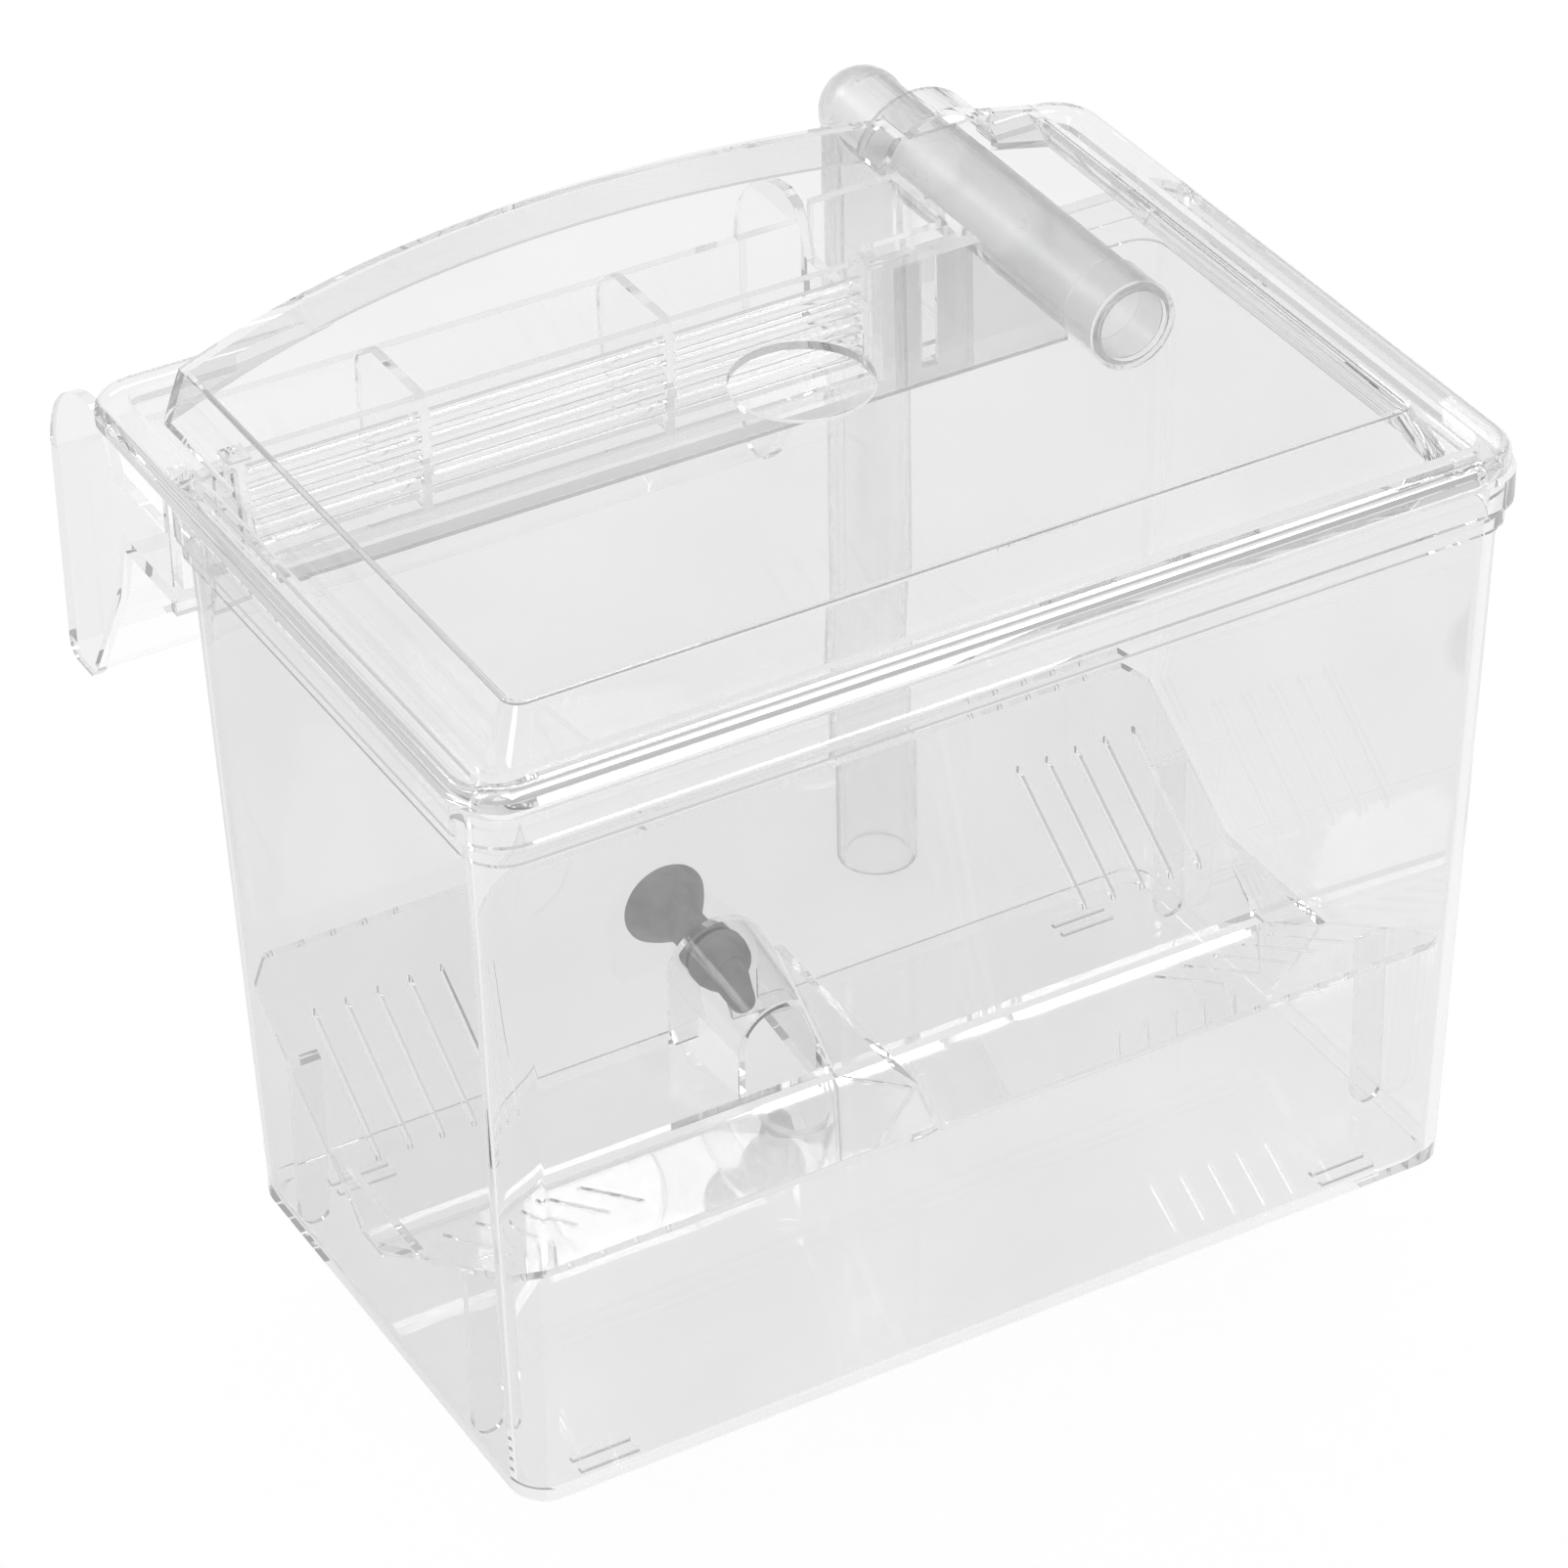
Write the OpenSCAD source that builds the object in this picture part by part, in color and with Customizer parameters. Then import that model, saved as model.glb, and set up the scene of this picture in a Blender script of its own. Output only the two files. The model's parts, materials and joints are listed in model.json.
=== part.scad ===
// Hang-on fish breeding box: clear tank with a V-shaped fry trap, a lid, a rear hanger that
// returns the water, an overflow strainer, a lift tube and a stand-off suction cup.
// Units are millimetres, +Z is up, +Y points to the aquarium, the origin is on the middle of
// the surface that sits on the aquarium rim.

/* [Tank] */
// Outside width of the tank at its floor
tank_w = 176.8; // [168:0.2:186]
// Outside depth of the tank at its floor
tank_d = 98.6; // [92:0.2:104]
// Height of the tank from its floor to its rim
tank_h = 138.8; // [134:0.2:144]
// Outward lean of each wall between the floor and the rim
tank_draft = 3.5; // [3:0.1:4.6]
// Thickness of the tank walls
wall_t = 1.8; // [1.4:0.1:2.2]
// Thickness of the tank floor
floor_t = 2; // [1.6:0.1:2.6]
// Outside radius of the upright corners
corner_r = 6.5; // [5:0.5:9]
// Rounding of the outside edge around the floor
floor_edge_r = 1.6; // [1:0.1:2.4]
// Height of the band round the rim
band_h = 5.3; // [3.6:0.1:6]
// How far the rim band stands out from the wall
band_out = 2.3; // [1:0.1:2.6]
// Height of the thin shoulder below the rim band
shoulder_h = 4.2; // [3:0.1:5.4]
// How far the shoulder stands out from the wall
shoulder_out = 0.9; // [0.3:0.1:1.2]
// Length of each foot rib under the floor
foot_l = 10.6; // [8:0.2:14]
// Width of each foot rib
foot_w = 1.1; // [0.8:0.1:1.6]
// Height of each foot rib
foot_h = 0.9; // [0.6:0.1:1.4]
// Distance between the two foot ribs of a pair
foot_pitch = 3; // [2.4:0.1:4]
// Distance from the end wall to the middle of a foot rib
foot_inset_x = 17.4; // [14:0.2:22]
// Distance from the long wall to the middle of a pair of foot ribs
foot_inset_y = 8; // [6.5:0.1:10]

/* [Overflow window] */
// Width of the overflow window in the rear wall
spill_w = 117; // [110:1:120]
// Distance from the rim corner to the window
spill_margin = 12; // [11:0.5:14]
// Depth of the window below the rim
spill_drop = 20.9; // [19:0.1:22]
// Height of the ledge below the window
pad_h = 3.8; // [3:0.1:5.5]
// How far the flat rear face stands out from the wall
pad_out = 1.4; // [1:0.1:1.8]

/* [Suction cup niche] */
// Height of the suction cup axis above the floor
cup_z = 15.6; // [15:0.1:16.4]
// Half width of the niche at the rear wall
niche_r = 10; // [9.5:0.1:11]
// Half width of the niche at its front end
niche_tip_r = 8.5; // [8:0.1:9]
// Height of the niche at the rear wall
niche_h = 24; // [23.4:0.1:25]
// Height of the niche at its front end
niche_tip_h = 20.2; // [19.6:0.1:21.4]
// Length of the niche from the rear wall into the tank
niche_l = 24.5; // [23:0.5:26]
// Drop of the straight niche sides below the cup axis at the rear wall
niche_side_drop = 4; // [3:0.1:5]
// Drop of the straight niche sides below the cup axis at the front end
niche_tip_drop = 6; // [5:0.1:7]
// Thickness of the niche walls
niche_t = 1.5; // [1.2:0.1:1.7]

/* [Hanger] */
// Clear width for the aquarium rim
rim_gap = 17.3; // [15:0.1:20]
// Thickness of the trough, chute and tray walls
hang_t = 2; // [1.6:0.1:2.2]
// Depth of the chute from its front face to its rear face
chute_d = 27.9; // [26:0.1:30]
// Depth of the mouth at the foot of the chute
mouth_d = 11; // [9:0.5:13]
// Drop of the chute below the aquarium rim
chute_drop = 35.6; // [30:0.1:42]
// Drop of the chute cheeks below the tank rim
cheek_sink = 0.4; // [0.2:0.1:3]
// Drop of the end walls of the trough below the tank rim
end_drop = 10; // [8:0.5:12]
// How far the front wall of the chute leans back below the trough
throat_in = 3.6; // [2:0.1:6]
// Height over which the front wall of the chute leans back
throat_h = 11; // [8:0.5:14]
// Height of the bevel at the mouth of the chute
mouth_bevel = 2.5; // [2:0.1:3]
// Run of the curved front edge at the top of the cheeks
cheek_lead = 10; // [8:0.5:12]
// Rounding of the rear upper corner of the cheeks
cheek_r = 17.5; // [12:0.5:18]
// Rounding of the foot of the cheeks
cheek_foot_r = 3; // [2:0.1:4]
// Depth of the tray that carries the tube
tray_d = 24.9; // [23:0.1:26]
// Depth of the pocket beside the tube
pocket_d = 20; // [17:0.5:21]
// Width of the tongues that slide into the rear wall
tongue_w = 3; // [2.4:0.1:4]
// Depth of the tongues
tongue_d = 1.2; // [0.9:0.1:1.4]

/* [Strainer] */
// Thickness of the strainer frame and bars
strainer_t = 1.8; // [1.4:0.1:2.4]
// Height of one strainer bar
bar_h = 2.7; // [2:0.1:3]
// Height of the slots between the bars
slot_h = 1; // [0.8:0.05:1.2]
// Number of slots between the bars
slot_n = 5; // [3:1:5]
// Height of the lower edge strip of the strainer
strip_h = 2.6; // [2:0.1:3]
// Width of the end posts of the strainer
post_w = 2.6; // [2:0.1:3.6]
// Length of the two fins behind the strainer
fin_l = 24; // [20:0.5:26]
// Distance from the window end to the first fin
fin_first = 34; // [28:0.5:40]
// Distance from the window end to the second fin
fin_second = 79; // [70:0.5:88]
// Thickness of the fins
fin_t = 1.8; // [1.4:0.1:2.4]
// Rounding of the rear upper corner of the fins
fin_r = 7; // [4:0.5:9]
// Length of the tabs that hook over the rear wall
tab_l = 1.2; // [1:0.1:1.3]
// Thickness of the tabs
tab_t = 1.2; // [1:0.1:1.3]

/* [Lid] */
// Overhang of the lid flange beyond the tank rim
flange_out = 2.2; // [1.8:0.1:2.8]
// Overhang of the flange at the front
flange_front = 1.2; // [0.8:0.1:2.8]
// Height of the lid flange
flange_h = 3.7; // [3:0.1:4.4]
// Width of the lid flange
flange_w = 5.6; // [5.2:0.1:6]
// Rounding of the upper edge of the flange
bead_r = 2; // [1:0.1:2.4]
// Depth of the ledge of the lid below the tank rim
ledge_sink = 0.9; // [0.6:0.1:1.2]
// Lap between the ledge and the flange
ledge_lap = 0.5; // [0.4:0.1:0.7]
// Corner radius of the lid flange
lid_r = 9; // [7:0.5:11]
// Thickness of the lid
lid_t = 1.5; // [1.2:0.1:1.6]
// Distance from the flange edge to the foot of the slope at the sides
slope_foot = 8.9; // [8.6:0.1:9.6]
// Distance from the flange edge to the foot of the slope at the front
slope_front = 8.4; // [8:0.1:9.6]
// Width of the slope around the raised top
slope_w = 4.7; // [4:0.1:5.6]
// Rise of the raised top above the tank rim
top_rise = 8.7; // [8.6:0.1:10.5]
// Distance from the flange edge of the lid to its rear edge behind the tank rim
lid_back = 30.3; // [27:0.1:32]
// How far the bowed rear edge stands out behind the flange at its middle
bow_h = 8.4; // [7.5:0.1:11]
// Sideways place of the middle of the bowed rear edge
bow_x = 2.5; // [0:0.5:5]
// Radius of the bowed rear edge
bow_r = 188; // [180:1:196]
// Width of the fine lip around the raised top
lip_w = 0.9; // [0.6:0.1:1.4]
// Distance from the bowed edge to the rear end of the fine lip
lip_back = 22; // [18:0.5:26]
// Height of the fine lip
lip_h = 0.4; // [0.2:0.1:0.6]
// Diameter of the feeding hole
hole_dia = 24; // [18:0.5:30]
// Sideways place of the feeding hole
hole_x = 2.5; // [-10:0.5:10]
// Distance from the front of the tank to the feeding hole
hole_y = 66.4; // [50:0.2:76]
// Inside radius of the arch over the lift tube
arch_r = 10.8; // [9.5:0.1:11.2]
// Thickness of the arch over the lift tube
arch_t = 1.4; // [1.2:0.1:1.8]
// Length of the arch over the lift tube
arch_l = 8.5; // [7:0.5:10]

/* [Fry trap] */
// Height of the panel edges above the tank floor plane
trap_top = 46.8; // [43:0.2:49]
// Height of the bottom of the V
trap_low = 17.8; // [17:0.1:19.4]
// Width of the slot along the bottom of the V
trap_slot = 3.6; // [2.4:0.1:5]
// Distance from the front of the tank to the bottom of the V
trap_mid = 54.4; // [50:0.2:57]
// Thickness of the trap panels
trap_t = 1.5; // [1.2:0.1:1.8]
// Clearance between the trap and the tank walls
trap_gap = 0.5; // [0.3:0.1:0.8]
// Width of the fry slits
slit_w = 1; // [0.7:0.1:1.4]
// Distance between the fry slits
slit_pitch = 5.9; // [4.5:0.1:6]
// Number of slits in each group
slit_n = 5; // [3:1:5]
// Distance from the middle to the first slit
slit_start = 55.6; // [52:0.2:56]
// Distance from the bottom of the V to the slits
slit_from = 11; // [8:0.5:12]
// Length of the slits in plan
slit_l = 22.5; // [16:0.5:25]
// Height of the middle web
web_h = 32.4; // [30:0.2:35]
// Height of the end webs
end_web_h = 27.9; // [25:0.1:31]
// Length of the chamfer at the upper corners of the trap
trap_chamfer = 3.6; // [3:0.1:6]
// Width of the trap legs
leg_w = 5.5; // [4:0.1:7]
// Distance from the front of the tank to the front legs
leg_front = 19.9; // [16:0.1:24]
// Distance from the front of the tank to the rear legs
leg_back = 82.4; // [78:0.1:86]

/* [Lift tube] */
// Outside radius of the lift tube
tube_r = 7.5; // [7:0.05:7.6]
// Inside radius of the lift tube
bore_r = 6.3; // [5.6:0.05:6.4]
// Sideways place of the lift tube
tube_x = 64.3; // [63:0.1:65]
// Depth of the horizontal tube axis below the rim
tube_drop = 1.1; // [0.9:0.05:1.5]
// Distance from the front of the tank to the open end
tube_front = 65.4; // [55:0.2:75]
// Distance from the rear wall mating face to the upright tube
riser_back = 48.9; // [46:0.1:52]
// Reach of the upright tube below the tank floor
riser_drop = 19.2; // [10:0.1:40]
// How far the rounded elbow stands out from the tube
elbow_out = 0.35; // [0.1:0.05:0.5]
// Length of the outlet sleeve
sleeve_l = 9; // [7:0.1:12]
// Outside radius of the outlet sleeve
sleeve_r = 7.95; // [7.9:0.01:8]
// Lip of the outlet sleeve in front of the tube
sleeve_lip = 1.2; // [0.8:0.1:1.8]

/* [Suction cup] */
// Radius of the suction disc
disc_r = 8; // [7.5:0.1:9.5]
// Reach of the suction disc behind the rear wall
disc_reach = 17.4; // [15:0.1:19]
// Radius of the neck in the keyhole
neck_r = 3; // [2.6:0.1:3.4]
// Radius of the collar behind the wall
collar_r = 5; // [4.6:0.1:5.4]
// Largest radius of the button head
head_r = 5.4; // [4.6:0.1:5.6]
// Length of the button head
head_l = 5.6; // [4.6:0.2:6.4]
// Radius of the nose where it leaves the button head
nose_r = 3.8; // [3:0.1:4]
// Radius of the tip of the nose
nose_tip_r = 2.4; // [2:0.1:2.8]
// Length of the nose
nose_l = 7; // [5:0.5:8]
// Droop of the nose below the cup axis
nose_droop = 30; // [15:1:36]

/* [Fits] */
// Radial clearance of the lift tube in its saddle
saddle_fit = 0.1; // [0.05:0.01:0.1]
// Clearance of the tongues and the cup neck
slide_fit = 0.05; // [0.02:0.01:0.1]
// Gap left under parts that rest on another part
rest_gap = 0.3; // [0.2:0.05:0.4]

/* [Hidden] */
eps = 0.01;
cut = 1;
round_fn = 64;
hull_fn = 32;
shell_clear = [0.86, 0.93, 0.95, 0.42];
shell_hang = [0.8, 0.9, 0.95, 0.5];
shell_lid = [0.88, 0.95, 0.97, 0.35];
shell_trap = [0.75, 0.88, 0.97, 0.6];
frosted = [0.9, 0.92, 0.93, 0.85];
rubber_grey = [0.25, 0.26, 0.27, 1];

rim_half = tank_w / 2 + tank_draft;
rim_back = tank_d + tank_draft;
mate_y = rim_back + pad_out;
sill_z = tank_h - spill_drop;
seat_z = sill_z - hang_t;
apron_y = mate_y + hang_t;
chute_y = apron_y + rim_gap;
chute_back = chute_y + chute_d;
seat_y = (apron_y + chute_y) / 2;
spill_x0 = -rim_half + spill_margin;
spill_x1 = spill_x0 + spill_w;
pad_low = seat_z - pad_h + hang_t;
hang_top = tank_h - rest_gap;
hang_x0 = -rim_half;
hang_x1 = spill_x1 + hang_t;
tray_x1 = tube_x + tube_r + saddle_fit + hang_t;
tray_divide = tube_x - tube_r - saddle_fit;
tray_back = mate_y + tray_d;
tube_z = tank_h - tube_drop;
riser_y = mate_y + riser_back;
riser_low = -riser_drop;
tongue_xs = [-rim_half + spill_margin / 2, (hang_x1 + tray_divide - hang_t) / 2];
tongue_z0 = pad_low + 3;
lid_z = tank_h + rest_gap;
lid_top = tank_h + top_rise;
lid_half = rim_half + flange_out;
lid_front = -tank_draft - flange_front;
lid_rear = rim_back + lid_back;
ledge_z = tank_h - ledge_sink;
bow_y = lid_rear + bow_h - bow_r;
slope_x = lid_half - slope_foot;
slope_y = lid_front + slope_front;
top_x = slope_x - slope_w;
top_y = slope_y + slope_w;
trap_half = tank_w / 2 + tank_draft * trap_low / tank_h - wall_t - trap_gap;
trap_front = -tank_draft * trap_top / tank_h + wall_t + trap_gap;
trap_back = tank_d + tank_draft * trap_top / tank_h - wall_t - trap_gap;
trap_floor = floor_t + rest_gap;
cup_wall_y = tank_d + tank_draft * cup_z / tank_h;
cup_inner_y = tank_d - wall_t;
strainer_y = mate_y + rest_gap;
strainer_low = sill_z + rest_gap;
strainer_top = strainer_low + 2 * strip_h + slot_n * (bar_h + slot_h) - bar_h;
fin_xs = [spill_x0 + fin_first, spill_x0 + fin_second];

// Moves the tank-based coordinates so that the origin is on the aquarium rim.
module place() {
    translate([0, -seat_y, -seat_z]) children();
}

// Upright prism with rounded corners between two corners given in plan.
module rounded_prism(x0, y0, x1, y1, z0, h, r) {
    translate([x0 + r, y0, z0]) cube([x1 - x0 - 2 * r, y1 - y0, h]);
    translate([x0, y0 + r, z0]) cube([x1 - x0, y1 - y0 - 2 * r, h]);
    for (x = [x0 + r, x1 - r], y = [y0 + r, y1 - r])
        translate([x, y, z0]) cylinder(h = h, r = r, $fn = round_fn);
}

// Thin slice of the leaning tank body, moved inwards by the given amount.
module tank_slice(z, inset, r) {
    lean = tank_draft * z / tank_h;
    half = tank_w / 2 + lean - inset;
    for (x = [-half + r, half - r], y = [-lean + inset + r, tank_d + lean - inset - r])
        translate([x, y, z]) cylinder(h = eps, r = r, $fn = hull_fn);
}

// Block between two corner points.
module block(x0, x1, y0, y1, z0, z1) {
    translate([x0, y0, z0]) cube([x1 - x0, y1 - y0, z1 - z0]);
}

// Slab across the width with a side profile given as [y, z] points.
module side_plate(x0, x1, points) {
    translate([x0, 0, 0]) rotate([90, 0, 90]) linear_extrude(x1 - x0) polygon(points);
}

// Round bar along the depth.
module bar_y(x, z, y0, y1, r) {
    translate([x, y0, z]) rotate([-90, 0, 0]) cylinder(h = y1 - y0, r = r, $fn = round_fn);
}

// U-shaped opening for the lift tube through upright walls.
module tube_notch(y0, y1, r) {
    bar_y(tube_x, tube_z, y0, y1, r);
    block(tube_x - r, tube_x + r, y0, y1, tube_z, tank_h + cut);
}

// Arched body of the suction cup niche, moved inwards by the given amount.
module niche_body(inset, z0, tail) {
    back_y = tank_d;
    tip_y = tank_d - niche_l + inset;
    hull() {
        bar_y(0, niche_h - niche_r, back_y - tail, back_y - tail + eps, niche_r - inset);
        block(-niche_r + inset, niche_r - inset, back_y - tail, back_y - tail + eps, z0,
            cup_z - niche_side_drop);
        bar_y(0, niche_tip_h - niche_tip_r, tip_y, tip_y + eps, niche_tip_r - inset);
        block(-niche_tip_r + inset, niche_tip_r - inset, tip_y, tip_y + eps, z0, cup_z - niche_tip_drop);
    }
}

module tank_shell() {
    hull() {
        tank_slice(0, floor_edge_r, corner_r - floor_edge_r);
        tank_slice(floor_edge_r, 0, corner_r);
        tank_slice(tank_h - eps, 0, corner_r);
    }
    rounded_prism(-rim_half - band_out, -tank_draft - band_out, rim_half + band_out, mate_y,
        tank_h - band_h, band_h, corner_r + band_out);
    rounded_prism(-rim_half - shoulder_out, -tank_draft - shoulder_out, rim_half + shoulder_out,
        rim_back + shoulder_out, tank_h - band_h - shoulder_h, shoulder_h + eps, corner_r + shoulder_out);
    block(-rim_half + corner_r, tray_x1, rim_back - wall_t, mate_y, pad_low, tank_h);
}

module foot_ribs() {
    for (x = [-tank_w / 2 + foot_inset_x, tank_w / 2 - foot_inset_x],
         y = [foot_inset_y, tank_d - foot_inset_y], side = [-1, 1])
        block(x - foot_l / 2, x + foot_l / 2, y + side * foot_pitch / 2 - foot_w / 2,
            y + side * foot_pitch / 2 + foot_w / 2, -foot_h, eps);
}

module tank() {
    color(shell_clear) place() difference() {
        union() {
            difference() {
                tank_shell();
                hull() {
                    tank_slice(floor_t, wall_t + floor_edge_r, corner_r - wall_t);
                    tank_slice(floor_t + floor_edge_r, wall_t, corner_r - wall_t);
                    tank_slice(tank_h + cut, wall_t, corner_r - wall_t);
                }
            }
            niche_body(0, 0, wall_t / 2);
            foot_ribs();
        }
        niche_body(niche_t, -cut, wall_t);
        bar_y(0, cup_z, tank_d - wall_t - cut, mate_y, neck_r + slide_fit);
        block(-neck_r - slide_fit, neck_r + slide_fit, tank_d - wall_t - cut, mate_y, -cut, cup_z);
        block(spill_x0, spill_x1, rim_back - wall_t - cut, mate_y + cut, sill_z, tank_h + cut);
        tube_notch(rim_back - wall_t - cut, mate_y + cut, tube_r + rest_gap);
        for (x = tongue_xs)
            block(x - tongue_w / 2 - slide_fit, x + tongue_w / 2 + slide_fit,
                mate_y - tongue_d - slide_fit, mate_y + cut, tongue_z0 - slide_fit, tank_h + cut);
    }
}

// End cheek of the chute: a D-shaped plate.
module cheek(x0, x1) {
    low = seat_z - chute_drop;
    high = tank_h - cheek_sink;
    side_plate(x0, x1, [
        [chute_y, seat_z], [chute_y + throat_in, seat_z - throat_h],
        [chute_back - mouth_d, low + mouth_bevel],
        [chute_back - mouth_d + mouth_bevel, low], [chute_back - cheek_foot_r, low],
        [chute_back, low + cheek_foot_r], [chute_back, high - cheek_r], [chute_back - cheek_r, high],
        [chute_y + cheek_lead, high], [chute_y + 0.7 * cheek_lead, high - 0.12 * cheek_lead],
        [chute_y + 0.5 * cheek_lead, high - 0.4 * cheek_lead],
        [chute_y + 0.26 * cheek_lead, high - 0.9 * cheek_lead]]);
    intersection() {
        translate([x0, chute_back - cheek_r, high - cheek_r])
            rotate([0, 90, 0]) cylinder(h = x1 - x0, r = cheek_r, $fn = round_fn);
        block(x0, x1, chute_back - cheek_r, chute_back, high - cheek_r, high);
    }
    translate([x0, chute_back - cheek_foot_r, low + cheek_foot_r])
        rotate([0, 90, 0]) cylinder(h = x1 - x0, r = cheek_foot_r, $fn = round_fn);
}

module chute_walls() {
    low = seat_z - chute_drop;
    side_plate(hang_x0, hang_x1, [
        [chute_y, seat_z], [chute_y + throat_in, seat_z - throat_h],
        [chute_back - mouth_d, low + mouth_bevel],
        [chute_back - mouth_d + hang_t, low + mouth_bevel],
        [chute_y + throat_in + hang_t, seat_z - throat_h + 0.4],
        [chute_y + hang_t, sill_z], [chute_y, sill_z]]);
    block(hang_x0, hang_x1, chute_back - hang_t, chute_back, low + cheek_foot_r,
        tank_h - cheek_sink - cheek_r);
}

module tube_tray() {
    block(hang_x1 - eps, tray_x1, mate_y, tray_back, seat_z, sill_z);
    block(tray_divide - hang_t, tray_divide, mate_y, tray_back, seat_z, hang_top);
    block(tray_x1 - hang_t, tray_x1, mate_y, tray_back, seat_z, hang_top);
    block(hang_x1 - eps, tray_x1, tray_back - hang_t, tray_back, seat_z, hang_top);
    block(hang_x1 - eps, tray_divide, tray_back - pocket_d, tray_back - pocket_d + hang_t, seat_z, hang_top);
}

module hanger() {
    color(shell_hang) place() difference() {
        union() {
            block(hang_x0, hang_x1, mate_y, chute_y + eps, seat_z, sill_z);
            block(hang_x0, tray_x1, mate_y, apron_y, pad_low, seat_z + eps);
            block(hang_x0, spill_x0, mate_y, apron_y, pad_low, hang_top);
            block(spill_x1, tray_x1, mate_y, apron_y, pad_low, hang_top);
            block(hang_x0, hang_x0 + hang_t, mate_y, chute_y + 3, seat_z, tank_h - end_drop);
            block(hang_x1 - hang_t, hang_x1, mate_y, chute_y + 3, seat_z, tank_h - end_drop);
            cheek(hang_x0, hang_x0 + hang_t);
            cheek(hang_x1 - hang_t, hang_x1);
            chute_walls();
            tube_tray();
            for (x = tongue_xs)
                block(x - tongue_w / 2, x + tongue_w / 2, mate_y - tongue_d, mate_y + eps,
                    tongue_z0, hang_top);
        }
        tube_notch(mate_y - cut, tray_back + cut, tube_r + saddle_fit);
    }
}

// Upright fin behind the strainer with a rounded rear corner.
module fin(x) {
    high = strainer_top;
    back = strainer_y + fin_l;
    side_plate(x - fin_t / 2, x + fin_t / 2, [
        [strainer_y, strainer_low], [back, strainer_low], [back, high - fin_r], [back - fin_r, high],
        [strainer_y, high]]);
    translate([x - fin_t / 2, back - fin_r, high - fin_r])
        rotate([0, 90, 0]) cylinder(h = fin_t, r = fin_r, $fn = round_fn);
}

module strainer() {
    x0 = spill_x0 + rest_gap;
    x1 = spill_x1 - rest_gap;
    y1 = strainer_y + strainer_t;
    first = strainer_low + strip_h;
    pitch = bar_h + slot_h;
    color(shell_trap) place() {
        difference() {
            block(x0, x1, strainer_y, y1, strainer_low, strainer_top);
            for (i = [0 : slot_n - 1])
                block(x0 + post_w, x1 - post_w, strainer_y - cut, y1 + cut,
                    first + i * pitch, first + i * pitch + slot_h);
        }
        for (x = fin_xs) fin(x);
        for (x = [x0 - tab_l, x1 - post_w])
            block(x, x + tab_l + post_w, mate_y - hang_t, y1, lid_z, lid_z + tab_t);
        for (x = [x0, x1 - post_w])
            block(x, x + post_w, strainer_y, y1, strainer_low, lid_z + tab_t);
    }
}

// Raised middle of the lid with its sloped sides and bowed rear edge, moved inwards by the given amount.
module lid_dome(inset, z0, z1) {
    intersection() {
        hull() {
            rounded_prism(-slope_x + inset, slope_y + inset, slope_x - inset, lid_rear + bow_h, z0, eps, 4);
            rounded_prism(-top_x + inset, top_y + inset, top_x - inset, lid_rear + bow_h, z1 - eps, eps, 3);
        }
        translate([bow_x, bow_y, z0]) cylinder(h = z1 - z0, r = bow_r - inset, $fn = 240);
    }
}

// Plan of the flange moved inwards by the given amount, from its underside up to the given height.
module flange_layer(inset, high) {
    for (x = [-lid_half + lid_r, lid_half - lid_r], y = [lid_front + lid_r, lid_rear - lid_r])
        translate([x, y, lid_z]) cylinder(h = high, r = lid_r - inset, $fn = hull_fn);
}

// Flange of the lid: a rounded bead that rests on the tank rim.
module lid_flange() {
    difference() {
        hull() {
            flange_layer(0, flange_h - bead_r);
            for (turn = [22.5 : 22.5 : 90])
                flange_layer(bead_r * (1 - cos(turn)), flange_h - bead_r + bead_r * sin(turn));
        }
        rounded_prism(-lid_half + flange_w, lid_front + flange_w, lid_half - flange_w, lid_rear - flange_w,
            lid_z - cut, flange_h + 2 * cut, lid_r - flange_w);
    }
}

// Low ledge between the flange and the slope, which locates the lid inside the rim.
module lid_ledge() {
    inset = flange_w - ledge_lap;
    rounded_prism(-lid_half + inset, lid_front + inset, lid_half - inset, lid_rear - inset,
        ledge_z, lid_t + ledge_lap, lid_r - inset);
}

module lid() {
    arch_y = lid_rear - lid_t - arch_l / 2;
    color(shell_lid) place() {
        difference() {
            union() {
                lid_flange();
                lid_ledge();
                lid_dome(0, ledge_z + lid_t, lid_top);
                lid_lip();
            }
            lid_dome(lid_t, ledge_z - cut, lid_top - lid_t);
            translate([hole_x, hole_y, lid_top - lid_t - cut])
                cylinder(h = lid_t + 2 * cut, r = hole_dia / 2, $fn = round_fn);
            bar_y(tube_x, tube_z, arch_y - arch_t, lid_rear + bow_h, arch_r);
            block(-lid_half, lid_half, rim_back - corner_r, lid_rear + bow_h, ledge_z - cut, lid_z);
        }
        difference() {
            bar_y(tube_x, tube_z, arch_y, arch_y + arch_l, arch_r + arch_t);
            bar_y(tube_x, tube_z, arch_y - cut, arch_y + arch_l + cut, arch_r);
            block(tube_x - 20, tube_x + 20, arch_y - cut, arch_y + arch_l + cut, tube_z - 20, lid_z + cut);
        }
    }
}

// Fine lip that runs round the front and sides of the raised top.
module lid_lip() {
    difference() {
        rounded_prism(-top_x, top_y, top_x, bow_y + bow_r - lip_back, lid_top - eps, lip_h, 3);
        rounded_prism(-top_x + lip_w, top_y + lip_w, top_x - lip_w, lid_rear, lid_top - cut,
            lip_h + 2 * cut, 2);
    }
}

module trap_panel(y_low, y_high) {
    side_plate(-trap_half, trap_half, [
        [y_low, trap_low], [y_high, trap_top], [y_high, trap_top + trap_t], [y_low, trap_low + trap_t]]);
}

module slit_group(y0, y1) {
    for (side = [-1, 1], i = [0 : slit_n - 1])
        translate([side * (slit_start + i * slit_pitch) - slit_w / 2, y0, trap_low - cut])
            cube([slit_w, y1 - y0, trap_top]);
}

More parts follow.
